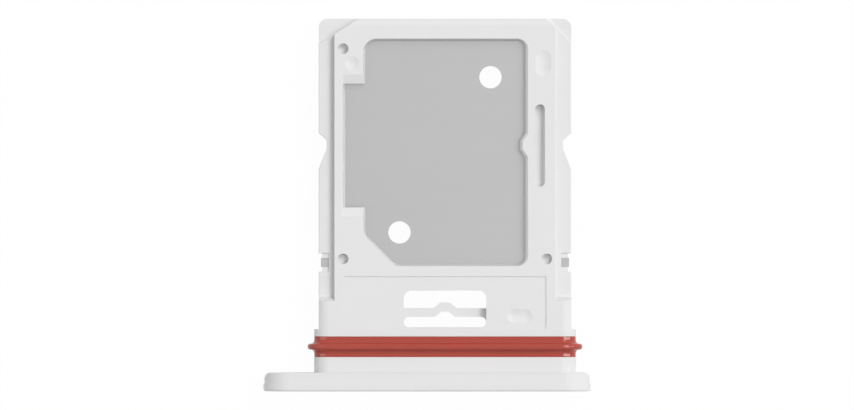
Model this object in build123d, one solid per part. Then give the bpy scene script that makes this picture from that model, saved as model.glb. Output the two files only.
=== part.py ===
from build123d import *
from math import hypot, radians, tan
import os

# A phone's card tray: a white moulding with a steel insert plate and a red silicone seal. The side that
# faces up takes a nano SIM card, the underside a memory card, and the plate is the floor of both pockets.
# Millimetres. X runs across the tray, Y is the way it slides into the phone, Z points out of the SIM side.
# While it is drawn, X = 0 is the tray's middle line, Y = 0 the bezel's outer face and Z = 0 its underside.

# The two cards
sim_length = 12.3
sim_width = 8.8
sim_cut_corner = 1.65
sim_depth = 0.725
memory_length = 15.0
memory_width = 11.0
memory_depth = 0.725
memory_nose_length = 6.4
memory_nose_step = 1.3
card_clearance = 0.085
memory_clearance = 0.2

# Bezel and neck
bezel_depth = 1.03
bezel_left_reach = 2.82
bezel_right_reach = 0.82
bezel_lip = 0.6
rim_depth = 0.41
rim_step = 0.055
rim_round = 0.12
flange_corner = 0.33
neck_length = 2.42
neck_overhang = 0.26

# Seal
groove_start = 0.875
groove_width = 1.15
groove_depth = 0.3
fin_reach = 0.37
fin_base = 0.78
fin_waist = 0.3
bead_radius = 0.17

# Walls of the moulding
side_wall = 0.56
rail_width = 0.86
rail_drop = 0.5
shoulder_length = 1.58
rail_end_slope = 0.22
nose_length = 0.82
nose_round = 0.4
nose_corner = 0.5
wall_draft = 9.4
land_step = 0.1
left_land = 0.9
left_land_slant = 0.56
right_land = 0.54
right_land_slant = 0.86
edge_round = 0.05
pick_margin = 0.001

# SIM pocket, its spring wall and the bay beside it
pocket_wall = 0.69
pocket_shift = 0.0075
pocket_corner_left = 0.63
pocket_corner_right = 0.38
cut_corner_round = 0.5
spring_fit = 0.02
spring_lead = 0.13
spring_offset = 0.3875
spring_rise = 0.29
spring_tip = 0.55
spring_foot = 1.42
beam_width = 0.4
slot_width = 0.545
slot_depth = 0.5
slot_lean = 0.13
slot_length = 4.57
slot_notch = 0.24
slot_notch_tip = 0.3
slot_notch_foot = 1.06
bay_wall = 0.455
bay_draft = 0.16
bay_length = 6.88
bay_ramp = 0.5
bay_step = 0.55

# Panel, window and the memory card's spring bar
panel_width = 11.25
panel_depth = 0.06
panel_border = 0.79
window_width = 4.59
window_sill = 0.09
window_lower_gap = 0.59
window_upper_gap = 0.99
window_upper_corner = 0.45
window_lower_corner = 0.28
bar_width = 0.48
bar_height = 0.95
bar_rise = 0.31
bar_tip = 0.53
bar_foot = 1.3
bar_notch = 0.3
bar_notch_tip = 0.38
bar_notch_foot = 1.12
bar_press = 0.03

# Insert plate, its tabs and the marks that the mould leaves
plate_thickness = 0.15
plate_bite = 0.4
plate_edge = 0.16
plate_corner = 0.5
plate_hole = 1.24
plate_hole_span_x = 5.06
plate_hole_span_y = 8.63
plate_hole_drop = 0.1275
tab_width = 0.5
tab_setback = 0.12
tab_height = 0.08
tab_notch_length = 1.02
tab_notch_depth = 0.185
tab_recess_depth = 0.56
tab_recess_drop = 0.08
pin_diameter = 0.59
pin_depth = 0.4
pin_inset = 0.5
pin_low = 0.28
pin_high = 0.425
dimple_depth = 0.075
round_dimple = 0.8
round_dimple_inset = 0.99
tall_dimple_width = 0.88
tall_dimple_length = 1.47
tall_dimple_inset = 0.69
dimple_drop = 1.235
wide_dimple_width = 0.74
wide_dimple_length = 1.39
wide_dimple_x = 4.15
wide_dimple_rise = 0.65

# Detents in the rails
detent_offset = 0.06
detent_depth = 0.445
detent_flat = 0.49
detent_steep = 0.4
detent_long = 1.12

# Levels
body_height = memory_depth + plate_thickness + sim_depth
bezel_height = body_height + 2 * bezel_lip
z_under = bezel_lip
z_plate = z_under + memory_depth
z_floor = z_plate + plate_thickness
z_top = z_floor + sim_depth
z_middle = bezel_height / 2
z_rail = z_top - rail_drop
z_land = z_rail - land_step
z_bar = z_under + bar_height
z_mouth = z_top + panel_depth
z_lead = z_top - spring_lead

# Half widths
pocket_left = pocket_shift - (sim_width + card_clearance) / 2
pocket_right = pocket_left + sim_width + spring_fit
wall_lean = sim_depth * tan(radians(wall_draft))
lead_lean = (sim_depth - spring_lead) * tan(radians(wall_draft))
slot_inner = pocket_right + lead_lean + spring_lead + beam_width
slot_outer = slot_inner + slot_width
frame_half = (memory_width + memory_clearance) / 2 + side_wall
bay_mouth = bay_wall - frame_half
soft_round = min(edge_round, (frame_half - slot_outer) / 3)
body_half = frame_half + rail_width
neck_half = body_half + neck_overhang
neck_core = neck_half - body_height / 2
bezel_width = 2 * neck_half + bezel_left_reach + bezel_right_reach
bezel_middle = (bezel_right_reach - bezel_left_reach) / 2

# Places along the tray
y_neck_end = bezel_depth + neck_length
y_rail = y_neck_end + shoulder_length
y_window_low = y_neck_end + window_sill
y_bar_low = y_window_low + window_lower_gap
y_bar_high = y_bar_low + bar_width
y_window_high = y_bar_high + window_upper_gap
y_panel_high = y_window_high + panel_border
y_pocket_low = y_panel_high + pocket_wall
y_pocket_high = y_pocket_low + sim_length + card_clearance
y_pocket_middle = (y_pocket_low + y_pocket_high) / 2
y_spring = y_pocket_middle + spring_offset
y_memory_low = y_bar_high + bar_rise - memory_clearance / 2
y_memory_high = y_bar_high + bar_rise + memory_length - bar_press
y_tip = y_memory_high + nose_length
y_tab = y_pocket_low + tab_height
y_seal = bezel_depth + groove_start + groove_width / 2
y_plate_low = y_pocket_low - plate_bite
y_plate_high = y_memory_high + plate_bite


def polygon(*points):
    """Makes a flat outline in X and Y through the points, which go round anticlockwise."""
    return make_face(Polyline(*points, close=True))


def rounded(face, *corners):
    """Rounds corners of a flat outline, each given as x, y and its radius."""
    for x, y, radius in corners:
        face = fillet(face.vertices().sort_by_distance((x, y, 0))[0], radius)
    return face


def box_outline(x_low, x_high, y_low, y_high):
    """Makes a rectangle between two corners."""
    return polygon((x_low, y_low), (x_high, y_low), (x_high, y_high), (x_low, y_high))


def upright(face, z_low, z_high, draft=0):
    """Raises an outline in X and Y between two levels, wider at the top by the draft angle."""
    return Pos(0, 0, z_low) * extrude(face, z_high - z_low, dir=(0, 0, 1), taper=-draft)


def along_y(face, y_low, y_high, x=0):
    """Carries a section in X and Z, centred on the tray's height, from one Y to another."""
    return extrude(Pos(x, y_low, z_middle) * (Plane.XZ * face), y_high - y_low, dir=(0, 1, 0))


def along_x(face, x_low, x_high):
    """Carries a side view, drawn as Y and Z, from one X to another."""
    return extrude(Pos(x_low, 0, 0) * (Plane.YZ * face), x_high - x_low, dir=(1, 0, 0))


def hump(x, y, rise, tip, foot, root=0):
    """Makes an outline that stands out of the line X = x towards -X, with its flanks carried on by root."""
    half_foot = tip / 2 + (foot - tip) / 2 * (rise + root) / rise
    return polygon(
        (x + root, y - half_foot),
        (x + root, y + half_foot),
        (x - rise, y + tip / 2),
        (x - rise, y - tip / 2),
    )


def both_faces(solid):
    """Repeats a cut on the underside, mirrored about the tray's middle level."""
    return solid + mirror(solid, Plane.XY.offset(z_middle))


def edges_at(body, level, x_low, x_high, y_low, y_high):
    """Finds the edges of a body that lie flat at one level, within a rectangle."""

    def lies_there(edge):
        box = edge.bounding_box()
        low = (x_low - box.min.X, y_low - box.min.Y, level - box.min.Z)
        high = (box.max.X - x_high, box.max.Y - y_high, box.max.Z - level)
        return max(low + high) < pick_margin

    return body.edges().filter_by(lies_there)


def bezel():
    """The visible cover: a rim with full-round ends, and behind it a flange a step smaller all round."""
    rim = along_y(SlotOverall(bezel_width, bezel_height), 0, rim_depth, bezel_middle)
    rim = fillet(rim.faces().sort_by(Axis.Y)[0].edges(), rim_round)
    flange_section = SlotOverall(bezel_width - 2 * rim_step, bezel_height - 2 * rim_step)
    flange = along_y(flange_section, rim_depth, bezel_depth, bezel_middle)
    left = bezel_middle - bezel_width / 2 + rim_step
    right = bezel_middle + bezel_width / 2 - rim_step
    plan = rounded(
        box_outline(left, right, rim_depth, bezel_depth),
        (left, bezel_depth, flange_corner),
        (right, bezel_depth, flange_corner),
    )
    return rim + (flange & upright(plan, 0, bezel_height))


def groove_ring(outside=0):
    """The stadium ring that the seal's band fills."""
    low = bezel_depth + groove_start
    high = low + groove_width
    ring = along_y(SlotOverall(2 * neck_half + 2 * outside, body_height + 2 * outside), low, high)
    core = along_y(SlotOverall(2 * (neck_half - groove_depth), body_height - 2 * groove_depth), low, high)
    return ring - core


def neck():
    """The full-round neck between the bezel and the shoulder, with the seal's groove round it."""
    core = along_y(SlotOverall(2 * neck_half, body_height), bezel_depth, y_neck_end)
    return core - groove_ring(groove_depth)


def trunk(y_low, y_high):
    """The neck's round section trimmed to the tray's width, which the shoulder and the blade keep to."""
    section = SlotOverall(2 * neck_half, body_height) & Rectangle(2 * body_half, body_height)
    return along_y(section, y_low, y_high)


def rail_rebate():
    """The cut that lowers the right-hand rail, from a slope at the shoulder to beyond the tray's nose."""
    beyond = y_tip + nose_length
    ramp = polygon(
        (y_rail, z_top),
        (y_rail + rail_end_slope, z_rail),
        (beyond, z_rail),
        (beyond, z_mouth),
        (y_rail, z_mouth),
    )
    return both_faces(along_x(ramp, frame_half, body_half + rail_width))


def nose_land(end, slant):
    """The cut that lowers the nose's right-hand corner below the rail, beyond a slanted step."""
    lean = slant / rail_width
    far = body_half + rail_width
    high = y_tip + end

    def corner(inset):
        low = y_tip - end + inset - lean * (far - frame_half)
        return polygon((far, low), (far, high), (far - (high - low) / lean, high))

    step = upright(corner(land_step * hypot(1, lean)), z_land, z_rail, 45)
    return both_faces(upright(corner(0), z_rail, z_mouth) + step)


def spring_hump():
    """The outline of the spring wall's hump at the pocket's floor."""
    return hump(pocket_right, y_spring, spring_rise, spring_tip, spring_foot, 2 * beam_width)


def sim_pocket():
    """The SIM card's drafted pocket, with one cut corner and the spring wall's hump."""
    cut = sim_cut_corner
    outline = polygon(
        (pocket_left + cut, y_pocket_low),
        (pocket_right, y_pocket_low),
        (pocket_right, y_pocket_high),
        (pocket_left, y_pocket_high),
        (pocket_left, y_pocket_low + cut),
    )
    outline = rounded(
        outline,
        (pocket_left + cut, y_pocket_low, cut_corner_round),
        (pocket_right, y_pocket_low, pocket_corner_right),
        (pocket_right, y_pocket_high, pocket_corner_right),
        (pocket_left, y_pocket_high, pocket_corner_left),
        (pocket_left, y_pocket_low + cut, cut_corner_round),
    )
    pocket = upright(outline, z_floor, z_mouth, wall_draft)
    return pocket - upright(spring_hump(), z_floor, z_mouth, -wall_draft)


def lead_in():
    """The bevel that leads the card in over the spring wall and its hump, and runs out at both corners."""
    right = pocket_right + lead_lean
    low = y_pocket_low - lead_lean + spring_lead
    high = y_pocket_high + lead_lean - spring_lead
    outline = rounded(
        box_outline(pocket_shift, right, low, high),
        (right, low, pocket_corner_right),
        (right, high, pocket_corner_right),
    )
    wall = offset(spring_hump(), -lead_lean, kind=Kind.INTERSECTION)
    return upright(outline, z_lead, z_mouth, 45) - upright(wall, z_lead, z_mouth, -45)


def spring_slot():
    """The slot behind the spring wall, notched where the wall has its hump, with a leaning outer side."""
    slot = Pos(slot_inner + slot_width / 2, y_spring) * SlotOverall(slot_length, slot_width, rotation=90)
    notch = hump(slot_inner, y_spring, slot_notch, slot_notch_tip, slot_notch_foot, slot_width / 2)
    z_slot = z_top - slot_depth
    section = polygon(
        (pocket_right, z_slot),
        (slot_outer - slot_lean, z_slot),
        (slot_outer, z_top),
        (slot_outer, z_mouth),
        (pocket_right, z_mouth),
    )
    room = extrude(Pos(0, y_spring - slot_length, 0) * (Plane.XZ * section), 2 * slot_length, dir=(0, 1, 0))
    return upright(slot + notch, z_slot, z_mouth) & room


def bay():
    """The shallow-ended bay that opens the SIM pocket's left wall, down to the plate."""
    low = y_spring - bay_length / 2
    high = y_spring + bay_length / 2
    z_step = z_floor + bay_step
    ramp_run = bay_ramp * (z_mouth - z_step) / (z_top - z_step)
    side = polygon(
        (low - ramp_run, z_mouth),
        (low, z_step),
        (low, z_floor),
        (high, z_floor),
        (high, z_step),
        (high + ramp_run, z_mouth),
    )
    right = pocket_left + wall_lean
    section = polygon(
        (bay_mouth + bay_draft, z_floor), (right, z_floor), (right, z_mouth), (bay_mouth, z_mouth)
    )
    wall = extrude(Pos(0, low - bay_length, 0) * (Plane.XZ * section), 3 * bay_length, dir=(0, 1, 0))
    return along_x(side, -frame_half, right) & wall


def deck():
    """A slab wider than the tray with the SIM pocket, the bay and the spring slot, the first two rounded."""
    slab = upright(box_outline(-2 * body_half, 2 * body_half, 0, 2 * y_tip), z_under, z_top)
    slab -= sim_pocket() + bay()
    mouth = edges_at(slab, z_top, bay_mouth, slot_outer, y_pocket_low - wall_lean, y_pocket_high + wall_lean)
    return fillet(mouth, soft_round) - lead_in() - spring_slot()


def blade():
    """The flat tray from the shoulder to the rounded nose: the SIM side, and a lower rail along each side."""
    plan = rounded(
        box_outline(-body_half, body_half, y_rail, y_tip),
        (-body_half, y_tip, nose_corner),
        (body_half, y_tip, nose_corner),
    )
    side = rounded(
        box_outline(y_rail, y_tip, z_under, z_top),
        (y_tip, z_under, nose_round),
        (y_tip, z_top, nose_round),
    )
    block = upright(plan, z_under, z_top) & along_x(side, -body_half, body_half)
    block = block & trunk(y_rail, y_tip) & deck()
    left = rail_rebate() + nose_land(left_land, left_land_slant)
    right = rail_rebate() + nose_land(right_land, right_land_slant)
    return block - mirror(left, Plane.YZ) - right


def bar_hump():
    """The outline of the spring bar's hump, which catches the memory card's tail."""
    return Pos(0, y_bar_high) * Rot(0, 0, -90) * hump(0, 0, bar_rise, bar_tip, bar_foot, bar_width)


def bar_hollow():
    """The outline of the notch in the spring bar's other side, behind its hump."""
    notch = hump(0, 0, bar_notch, bar_notch_tip, bar_notch_foot, bar_width)
    return Pos(0, y_bar_low) * Rot(0, 0, -90) * notch


def window():
    """The panel's window, with the memory card's spring bar left standing across its lower half."""
    half = window_width / 2
    opening = rounded(
        box_outline(-half, half, y_window_low, y_window_high),
        (-half, y_window_low, window_lower_corner),
        (half, y_window_low, window_lower_corner),
        (-half, y_window_high, window_upper_corner),
        (half, y_window_high, window_upper_corner),
    )
    upper = rounded(
        box_outline(-half, half, y_bar_high, y_window_high),
        (-half, y_window_high, window_upper_corner),
        (half, y_window_high, window_upper_corner),
    )
    lower = rounded(
        box_outline(-half, half, y_window_low, y_bar_low),
        (-half, y_window_low, window_lower_corner),
        (half, y_window_low, window_lower_corner),
        (-half, y_bar_low, window_lower_corner),
        (half, y_bar_low, window_lower_corner),
    )
    upper -= bar_hump()
    lower += bar_hollow() & box_outline(-half, half, y_window_low, y_bar_high)
    return upright(opening, z_bar, z_mouth) + upright(upper + lower, 0, z_bar)


def memory_pocket():
    """The memory card's pocket in the underside, narrower at the nose on one side as the card is."""
    half = (memory_width + memory_clearance) / 2
    y_step = y_memory_high - memory_nose_length
    outline = polygon(
        (-half, y_memory_low),
        (half, y_memory_low),
        (half, y_memory_high),
        (memory_nose_step - half, y_memory_high),
        (memory_nose_step - half, y_step),
        (-half, y_step - memory_nose_step),
    )
    return upright(outline - bar_hump(), 0, z_plate)


def cutter_radius(width):
    """The radius of the ball that cuts a hollow of one width and the dimples' depth."""
    return ((width / 2) ** 2 + dimple_depth**2) / (2 * dimple_depth)


def dimple(width, x, y, level):
    """The ball that cuts a shallow hollow in a face at one level."""
    radius = cutter_radius(width)
    return Pos(x, y, level + radius - dimple_depth) * Sphere(radius)


def long_dimple(width, length, x, y, level, turn=0):
    """The path of a ball that cuts a long hollow, along X unless it is turned."""
    radius = cutter_radius(width)
    run = length - width
    ends = Pos(-run / 2, 0, 0) * Sphere(radius) + Pos(run / 2, 0, 0) * Sphere(radius)
    path = ends + Cylinder(radius, run, rotation=(0, 90, 0))
    return Pos(x, y, level + radius - dimple_depth) * Rot(0, 0, turn) * path


def mould_marks():
    """The three dimples, and the three round holes that the mould's pins left."""
    y_dimple = y_pocket_high - dimple_drop
    z_panel = z_top - panel_depth
    x_tall = frame_half - tall_dimple_inset
    y_wide = y_window_low + wide_dimple_rise
    marks = dimple(round_dimple, round_dimple_inset - frame_half, y_dimple, z_top)
    marks += long_dimple(tall_dimple_width, tall_dimple_length, x_tall, y_dimple, z_top, 90)
    marks += long_dimple(wide_dimple_width, wide_dimple_length, wide_dimple_x, y_wide, z_panel)
    x_pin = frame_half - pin_inset
    y_pin_low = y_pocket_low + pin_low
    y_pin_high = y_pocket_high - pin_high
    for x, y in ((-x_pin, y_pin_high), (-x_pin, y_pin_low), (x_pin, y_pin_low)):
        marks += upright(Pos(x, y) * Circle(pin_diameter / 2), z_top - pin_depth, z_mouth)
    return marks


def rail_cuts():
    """The detent in the right-hand rail's edge, and the notch and recess that show the plate's tab."""
    y_detent = y_spring + detent_offset
    low = y_detent - detent_flat / 2
    high = y_detent + detent_flat / 2
    beyond = 1 + rail_width / detent_depth
    bottom = body_half - detent_depth
    far = bottom + beyond * detent_depth
    detent = polygon(
        (bottom, low), (far, low - beyond * detent_long), (far, high + beyond * detent_steep), (bottom, high)
    )
    notch_low = y_tab - tab_notch_length / 2
    notch_high = y_tab + tab_notch_length / 2
    notch = box_outline(body_half - tab_notch_depth, far, notch_low, notch_high)
    recess = box_outline(body_half - tab_recess_depth, far, notch_low, notch_high)
    tab_room = box_outline(body_half - tab_recess_depth, far, y_tab - tab_width / 2, y_tab + tab_width / 2)
    lowered = upright(recess, z_rail - tab_recess_drop, z_mouth) + upright(tab_room, z_floor, z_mouth)
    return upright(detent + notch, 0, z_mouth) + both_faces(lowered)


def plate_blank():
    """The insert's outline with a tab through each rail, without its holes."""
    half = frame_half - plate_edge
    blank = rounded(
        box_outline(-half, half, y_plate_low, y_plate_high),
        (-half, y_plate_high, plate_corner),
        (half, y_plate_high, plate_corner),
    )
    reach = body_half - tab_setback
    blank += box_outline(-reach, reach, y_tab - tab_width / 2, y_tab + tab_width / 2)
    return upright(blank, z_plate, z_floor)


def card_plate():
    """The steel insert, a flat sheet with two round holes at opposite corners of the SIM pocket."""
    x_hole = plate_hole_span_x / 2
    y_middle = y_pocket_middle - plate_hole_drop
    holes = Pos(x_hole, y_middle + plate_hole_span_y / 2) * Circle(plate_hole / 2)
    holes += Pos(-x_hole, y_middle - plate_hole_span_y / 2) * Circle(plate_hole / 2)
    return plate_blank() - upright(holes, 0, z_top)


def soften(body):
    """Rounds the edges that run in the phone's slot: the frame's and the rails', above and below."""
    edges = ShapeList()
    rail_inner = body_half - max(detent_depth, tab_recess_depth)
    for frame_level, rail_level in ((z_top, z_rail), (z_under, 2 * z_middle - z_rail)):
        for side in (-1, 1):
            near, far = sorted((side * rail_inner, side * body_half))
            edges += edges_at(body, frame_level, side * frame_half, side * frame_half, y_rail, y_tip)
            edges += edges_at(body, rail_level, near, far, y_rail, y_tip)
    return fillet(edges, soft_round)


def tray_body():
    """The whole moulding: bezel, neck, shoulder and blade, less everything that is cut into it."""
    body = bezel() + neck() + trunk(y_neck_end, y_rail) + blade()
    panel = box_outline(-panel_width / 2, panel_width / 2, y_window_low, y_panel_high)
    body -= upright(panel, z_top - panel_depth, z_mouth)
    body -= memory_pocket()
    body -= window()
    right_cuts = rail_cuts()
    body -= right_cuts + mirror(right_cuts, Plane.YZ)
    return soften(body - plate_blank()) - mould_marks()


def fin_profile():
    """The seal's lip as Y and Z: a foot that narrows in two hollow quarter rounds to a round bead."""
    surface = z_middle + body_height / 2
    root = surface - groove_depth / 2
    foot = fin_base / 2
    waist = fin_waist / 2
    hollow = foot - waist
    level = surface + hollow
    right = CenterArc((y_seal + foot, level), hollow, 270, -90)
    left = CenterArc((y_seal - foot, level), hollow, 0, -90)
    top = Line(right @ 1, left @ 0)
    base = Polyline(left @ 1, (y_seal - foot, root), (y_seal + foot, root), right @ 0)
    bead = Pos(y_seal, surface + fin_reach - bead_radius) * Circle(bead_radius)
    return make_face(base + right + top + left) + bead


def seal_ring():
    """The silicone seal: a band flush in the groove, with the lip carried all round the neck."""
    profile = Pos(neck_core, 0, 0) * (Plane.YZ * fin_profile())
    run = extrude(profile, 2 * neck_core, dir=(-1, 0, 0))
    bend = revolve(profile, Axis((neck_core, 0, z_middle), (0, 1, 0)), 180)
    lip = both_faces(run) + bend + mirror(bend, Plane.YZ)
    return groove_ring() + lip


# The frame's origin is under the middle of the whole tray, on the surface that it lies on
to_frame = Pos(-bezel_middle, -y_tip / 2, 0)
os.makedirs("parts", exist_ok=True)
for name, make in (("tray_body", tray_body), ("card_plate", card_plate), ("seal_ring", seal_ring)):
    export_step(to_frame * make(), f"parts/{name}.step")
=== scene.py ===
import bpy
import numpy as np
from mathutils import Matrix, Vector


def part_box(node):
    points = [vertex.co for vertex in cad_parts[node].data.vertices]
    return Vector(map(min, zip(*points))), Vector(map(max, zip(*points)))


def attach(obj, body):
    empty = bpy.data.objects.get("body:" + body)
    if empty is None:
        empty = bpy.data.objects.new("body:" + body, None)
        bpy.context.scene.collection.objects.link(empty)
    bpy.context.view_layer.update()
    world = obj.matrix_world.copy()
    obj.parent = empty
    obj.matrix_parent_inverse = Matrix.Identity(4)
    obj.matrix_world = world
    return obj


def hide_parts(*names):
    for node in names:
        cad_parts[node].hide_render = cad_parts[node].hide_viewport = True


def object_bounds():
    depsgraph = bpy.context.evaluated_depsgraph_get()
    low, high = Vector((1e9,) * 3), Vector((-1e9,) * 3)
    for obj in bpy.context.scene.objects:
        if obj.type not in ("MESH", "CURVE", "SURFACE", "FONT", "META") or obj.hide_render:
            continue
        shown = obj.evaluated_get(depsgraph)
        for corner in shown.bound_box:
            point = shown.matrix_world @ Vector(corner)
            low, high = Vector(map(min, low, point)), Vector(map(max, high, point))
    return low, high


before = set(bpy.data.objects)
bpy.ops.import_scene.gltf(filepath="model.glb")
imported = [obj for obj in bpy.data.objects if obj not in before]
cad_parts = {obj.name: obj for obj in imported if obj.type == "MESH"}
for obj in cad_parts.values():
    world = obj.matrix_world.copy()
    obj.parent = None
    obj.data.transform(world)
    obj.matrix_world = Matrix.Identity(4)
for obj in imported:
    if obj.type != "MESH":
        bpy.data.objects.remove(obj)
cad_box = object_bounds()

# Lengths are metres. X runs along the bezel, Y the way the tray slides in, Z out of the SIM side.
MM = 0.001

# Seal: a band in the neck's groove with one beaded lip
GROOVE_DEPTH = 0.30 * MM
LIP_REACH = 0.37 * MM
LIP_FOOT = 0.39 * MM
LIP_HOLLOW = 0.24 * MM
BEAD_RADIUS = 0.15 * MM
BEAD_LAND = 0.025 * MM
BAND_EDGE = 0.035 * MM
ARC_STEPS = 14
BEAD_STEPS = 36
BAND_STEPS = 12
BEND_STEPS = 56
RUN_STEPS = 40

# Finishes: linear colours, grain as features to the metre, and relief in metres
PLASTIC_WHITE = (0.775, 0.775, 0.775)
PLASTIC_GRAIN = 9000.0
PLASTIC_CLOUD = 420.0
PLASTIC_RELIEF = 1.2e-6
STEEL_GREY = (0.421, 0.421, 0.421)
STEEL_LINES = (90.0, 9000.0, 900.0)
STEEL_CLOUD = 350.0
STEEL_RELIEF = 1.2e-7
SILICONE_RED = (0.424, 0.058, 0.038)
SILICONE_GRAIN = 11000.0
SILICONE_BLOOM = 700.0
SILICONE_RELIEF = 2.5e-8

# Stage
POCKET_DEPTH = 0.725 * MM
PHOTO_WIDTH_PX = 854
PIXELS_PER_MM = 18.0
CAMERA_LENS_MM = 600.0
CAMERA_SENSOR_MM = 36.0
FLOOR_SIZE = 4.0
FLOOR_GAP = 0.01 * MM
FLOOR_GREY = (0.90, 0.90, 0.90)
FLOOR_GLOW = 0.975
SKY_LEVEL = 0.43

# Lamps: tilt from straight above and turn from +X in degrees, width and length in metres, and watts
LAMP_DISTANCE = 1.0
LAMPS = {
    "soft_box": (40.0, 50.0, 0.45, 0.45, 4.1),
    "top_panel": (25.0, 0.0, 0.45, 0.45, 1.5),
    "strip_light": (46.5, -1.5, 0.045, 0.96, 1.3),
    "left_card": (52.0, 180.0, 0.80, 0.80, 0.65),
    "left_strip": (46.5, 181.5, 0.045, 0.96, 0.35),
}


class Value:
    """A shader socket that takes part in Python arithmetic: each operation adds one Math node."""

    def __init__(self, shader, socket):
        self.shader = shader
        self.socket = socket

    def maths(self, operation, first, second):
        return self.shader.node("ShaderNodeMath", {"operation": operation}, {0: first, 1: second})

    def __add__(self, other):
        return self.maths("ADD", self, other)

    def __radd__(self, other):
        return self.maths("ADD", other, self)

    def __sub__(self, other):
        return self.maths("SUBTRACT", self, other)

    def __rsub__(self, other):
        return self.maths("SUBTRACT", other, self)

    def __mul__(self, other):
        return self.maths("MULTIPLY", self, other)

    def __rmul__(self, other):
        return self.maths("MULTIPLY", other, self)


class Shader:
    """The node tree of a material or of the world, with one method that adds any node."""

    def __init__(self, owner):
        owner.use_nodes = True
        self.tree = owner.node_tree
        self.tree.nodes.clear()

    def node(self, kind, settings=None, inputs=None, output=0):
        """Adds a node, sets its options first and then its sockets, and returns one of its outputs."""
        node = self.tree.nodes.new(kind)
        for name, setting in (settings or {}).items():
            setattr(node, name, setting)
        for name, value in (inputs or {}).items():
            if isinstance(value, Value):
                self.tree.links.new(value.socket, node.inputs[name])
            else:
                node.inputs[name].default_value = value
        if node.outputs:
            return Value(self, node.outputs[output])

    def noise(self, place, scale, detail=2.0, roughness=0.5):
        """Cloudy noise between 0 and 1, with the given number of features to the metre."""
        inputs = {"Vector": place, "Scale": scale, "Detail": detail, "Roughness": roughness}
        return self.node("ShaderNodeTexNoise", {}, inputs, "Fac")

    def relief(self, height, depth):
        """The normals of a surface that stands out by depth, in metres, where height is 1."""
        return self.node("ShaderNodeBump", {}, {"Strength": 1.0, "Distance": depth, "Height": height})

    def tinted(self, colour, amount):
        """A colour made lighter or darker all over by a value near 1."""
        return self.node("ShaderNodeVectorMath", {"operation": "SCALE"}, {0: colour, "Scale": amount})

    def seen(self):
        """1 for rays from the eye, straight, mirrored or through glass, and 0 for light that has spread."""
        eye = self.node("ShaderNodeLightPath", {}, {}, "Is Camera Ray")
        mirrored = self.node("ShaderNodeLightPath", {}, {}, "Is Glossy Ray")
        through = self.node("ShaderNodeLightPath", {}, {}, "Is Transmission Ray")
        spread = self.node("ShaderNodeLightPath", {}, {}, "Diffuse Depth")
        either = eye.maths("MAXIMUM", eye, mirrored)
        either = either.maths("MAXIMUM", either, through)
        return either * spread.maths("LESS_THAN", spread, 0.5)


def finish(name, make):
    """A new material whose surface is the Principled shader with the sockets that make returns."""
    material = bpy.data.materials.new(name)
    shader = Shader(material)
    place = shader.node("ShaderNodeTexCoord", {}, {}, "Object")
    surface = shader.node("ShaderNodeBsdfPrincipled", {}, make(shader, place))
    shader.node("ShaderNodeOutputMaterial", {}, {"Surface": surface})
    return material


def moulded_plastic(shader, place):
    """White plastic from a fine spark-eroded mould: a matte grain under a faint cloudiness."""
    grain = shader.noise(place, PLASTIC_GRAIN, 3.0, 0.65)
    cloud = shader.noise(place, PLASTIC_CLOUD)
    return {
        "Base Color": shader.tinted(PLASTIC_WHITE, 0.985 + 0.03 * cloud),
        "Roughness": 0.40 + 0.12 * grain,
        "Normal": shader.relief(grain, PLASTIC_RELIEF),
        "IOR": 1.46,
        "Specular IOR Level": 0.25,
    }


def rolled_steel(shader, place):
    """Satin stainless sheet: rolling lines across the tray, noise drawn out a hundred times along X."""
    across = shader.node("ShaderNodeMapping", {}, {"Vector": place, "Scale": STEEL_LINES})
    lines = shader.noise(across, 1.0, 4.0, 0.7)
    cloud = shader.noise(place, STEEL_CLOUD)
    return {
        "Base Color": shader.tinted(STEEL_GREY, 0.98 + 0.02 * lines + 0.02 * cloud),
        "Roughness": 0.27 + 0.06 * lines,
        "Metallic": 1.0,
        "Normal": shader.relief(lines, STEEL_RELIEF),
    }


def moulded_silicone(shader, place):
    """Red silicone rubber: smooth and a little glossy, with a fine dusty bloom."""
    grain = shader.noise(place, SILICONE_GRAIN, 3.0, 0.6)
    bloom = shader.noise(place, SILICONE_BLOOM)
    return {
        "Base Color": shader.tinted(SILICONE_RED, 0.95 + 0.10 * bloom),
        "Roughness": 0.06 + 0.04 * bloom,
        "Normal": shader.relief(grain, SILICONE_RELIEF),
        "IOR": 1.41,
    }


def arc(centre_y, centre_h, radius, start_deg, end_deg, steps):
    """Points y, height on a round arc: centre + radius times (cos, sin) of angles spaced evenly."""
    turn = np.radians(np.linspace(start_deg, end_deg, steps))
    return np.stack([centre_y + radius * np.cos(turn), centre_h + radius * np.sin(turn)], axis=1)


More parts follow.
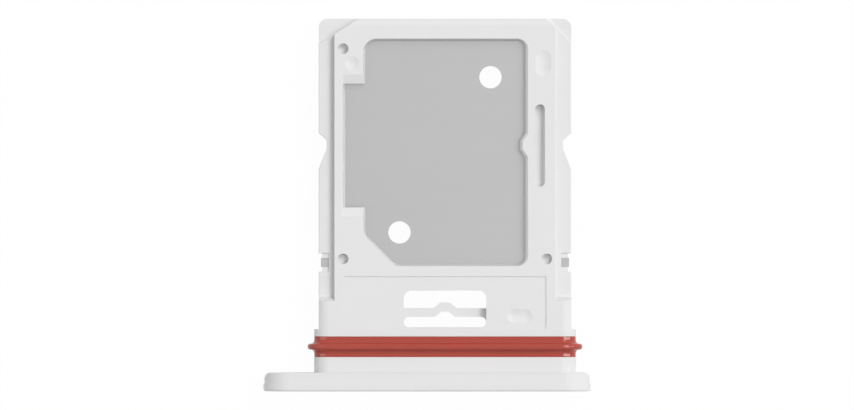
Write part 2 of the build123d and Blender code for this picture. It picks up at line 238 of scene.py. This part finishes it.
def seal_profile(half_band):
    """Half of the seal's outline, y and height over the neck, from the lip's crest to the groove's floor.

    The bead is a circle, split by a land of twice BEAD_LAND on its crest. The foot is a hollow quarter
    round of radius LIP_HOLLOW that ends where it meets the bead: both circles' centres are known, so the
    law of cosines gives the angle of their common point.
    """
    bead_height = LIP_REACH - BEAD_RADIUS
    apart = np.array([LIP_FOOT - BEAD_LAND, LIP_HOLLOW - bead_height])
    span = np.hypot(*apart)
    lean = np.degrees(np.arctan2(apart[1], apart[0]))
    at_bead = np.degrees(np.arccos((span**2 + BEAD_RADIUS**2 - LIP_HOLLOW**2) / (2 * span * BEAD_RADIUS)))
    at_foot = np.degrees(np.arccos((span**2 + LIP_HOLLOW**2 - BEAD_RADIUS**2) / (2 * span * LIP_HOLLOW)))
    bead = arc(BEAD_LAND, bead_height, BEAD_RADIUS, 90.0, lean - at_bead, BEAD_STEPS)
    foot = arc(LIP_FOOT, LIP_HOLLOW, LIP_HOLLOW, 180.0 + lean + at_foot, 270.0, ARC_STEPS)
    band = np.linspace((LIP_FOOT, 0.0), (half_band - BAND_EDGE, 0.0), BAND_STEPS)
    edge = arc(half_band - BAND_EDGE, -BAND_EDGE, BAND_EDGE, 90.0, 0.0, ARC_STEPS)
    floor = np.array([[half_band, -GROOVE_DEPTH], [0.0, -GROOVE_DEPTH]])
    return np.concatenate([bead, foot[1:], band[1:-1], edge, floor])


def stadium(half_run):
    """The path round the neck as centre x and outward x, z, anticlockwise from the right end.

    Two straight runs of twice half_run lie above and below, and a half turn joins them at each end.
    """
    turn = np.linspace(-np.pi / 2, np.pi / 2, BEND_STEPS)
    run = np.linspace(1.0, -1.0, RUN_STEPS)[1:-1] * half_run
    centre = np.concatenate([np.full(BEND_STEPS, half_run), run, np.full(BEND_STEPS, -half_run), -run])
    up = np.full(len(run), np.pi / 2)
    angle = np.concatenate([turn, up, turn + np.pi, up + np.pi])
    return centre, np.cos(angle), np.sin(angle)


def closed_surface(name, grid):
    """A mesh from a grid of points that closes both ways: each quad joins a point to its neighbours."""
    rows, columns = grid.shape[:2]
    index = np.arange(rows * columns).reshape(rows, columns)
    right = np.roll(index, -1, axis=1)
    quads = np.stack([index, right, np.roll(right, -1, axis=0), np.roll(index, -1, axis=0)], axis=-1)
    mesh = bpy.data.meshes.new(name)
    mesh.from_pydata(grid.reshape(-1, 3).tolist(), [], quads.reshape(-1, 4).tolist())
    mesh.shade_smooth()
    piece = bpy.data.objects.new(name, mesh)
    bpy.context.scene.collection.objects.link(piece)
    return piece


def lipped_seal():
    """The seal's outline carried round the neck: core line + (neck's half height + height) * outward."""
    low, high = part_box("seal_ring")
    middle = (low + high) / 2
    reach = (high - low) / 2
    half_profile = seal_profile(reach.y)
    mirrored = half_profile[-2:0:-1] * (-1.0, 1.0)
    profile = np.concatenate([half_profile, mirrored])
    centre, out_x, out_z = stadium(reach.x - reach.z)
    radius = reach.z - LIP_REACH + profile[:, 1]
    grid = np.empty((len(centre), len(profile), 3))
    grid[..., 0] = middle.x + centre[:, None] + radius * out_x[:, None]
    grid[..., 1] = middle.y + profile[:, 0]
    grid[..., 2] = middle.z + radius * out_z[:, None]
    seal = closed_surface("lipped_seal", grid)
    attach(seal, "root")
    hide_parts("seal_ring")
    return seal


def dress(piece, material):
    """Gives every face of a piece one material."""
    piece.data.materials.clear()
    piece.data.materials.append(material)


def pale_floor():
    """A floor that looks white to the eye, keeps a trace of the shadow and reflects a softer grey."""
    corner = FLOOR_SIZE / 2
    mesh = bpy.data.meshes.new("floor")
    points = [(-corner, -corner), (corner, -corner), (corner, corner), (-corner, corner)]
    mesh.from_pydata([(x, y, -FLOOR_GAP) for x, y in points], [], [(0, 1, 2, 3)])
    floor = bpy.data.objects.new("floor", mesh)
    bpy.context.scene.collection.objects.link(floor)
    material = bpy.data.materials.new("pale_floor")
    shader = Shader(material)
    matte = shader.node("ShaderNodeBsdfDiffuse", {}, {"Color": FLOOR_GREY + (1.0,)})
    glow = shader.node("ShaderNodeEmission", {}, {"Color": (1.0, 1.0, 1.0, 1.0), "Strength": 1.0})
    both = shader.node("ShaderNodeMixShader", {}, {0: shader.seen() * FLOOR_GLOW, 1: matte, 2: glow})
    shader.node("ShaderNodeOutputMaterial", {}, {"Surface": both})
    dress(floor, material)


def studio_sky():
    """An even sky: white to the eye and in reflections, and SKY_LEVEL as light."""
    world = bpy.data.worlds.new("studio_sky")
    shader = Shader(world)
    level = SKY_LEVEL + (1.0 - SKY_LEVEL) * shader.seen()
    sky = shader.node("ShaderNodeBackground", {}, {"Color": (1.0, 1.0, 1.0, 1.0), "Strength": level})
    shader.node("ShaderNodeOutputWorld", {}, {"Surface": sky})
    bpy.context.scene.world = world


def area_lamp(name, tilt_deg, turn_deg, width, length, watts):
    """A rectangular lamp aimed at the tray, its length along the line that leads up over the tray."""
    tilt = np.radians(tilt_deg)
    turn = np.radians(turn_deg)
    towards = Vector((np.sin(tilt) * np.cos(turn), np.sin(tilt) * np.sin(turn), np.cos(tilt)))
    light = bpy.data.lights.new(name, "AREA")
    light.shape = "RECTANGLE"
    light.size = width
    light.size_y = length
    light.energy = watts
    lamp = bpy.data.objects.new(name, light)
    lamp.location = towards * LAMP_DISTANCE
    lamp.rotation_euler = towards.to_track_quat("Z", "Y").to_euler()
    bpy.context.scene.collection.objects.link(lamp)


def camera_above():
    """A long lens straight above the tray, so far off that its top face has the photograph's scale."""
    low, high = cad_box
    top_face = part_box("card_plate")[1].z + POCKET_DEPTH
    view_width = PHOTO_WIDTH_PX / PIXELS_PER_MM * MM
    camera = bpy.data.cameras.new("camera")
    camera.lens = CAMERA_LENS_MM
    camera.sensor_width = CAMERA_SENSOR_MM
    above = bpy.data.objects.new("camera", camera)
    distance = view_width * CAMERA_LENS_MM / CAMERA_SENSOR_MM
    above.location = ((low[0] + high[0]) / 2, (low[1] + high[1]) / 2, top_face + distance)
    bpy.context.scene.collection.objects.link(above)
    bpy.context.scene.camera = above


plastic = finish("white_plastic_finish", moulded_plastic)
steel = finish("plate_steel_finish", rolled_steel)
silicone = finish("red_silicone_finish", moulded_silicone)
dress(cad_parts["tray_body"], plastic)
dress(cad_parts["card_plate"], steel)
dress(lipped_seal(), silicone)

pale_floor()
studio_sky()
for lamp_name, lamp_values in LAMPS.items():
    area_lamp(lamp_name, *lamp_values)
camera_above()
bpy.context.scene.view_settings.view_transform = "Standard"
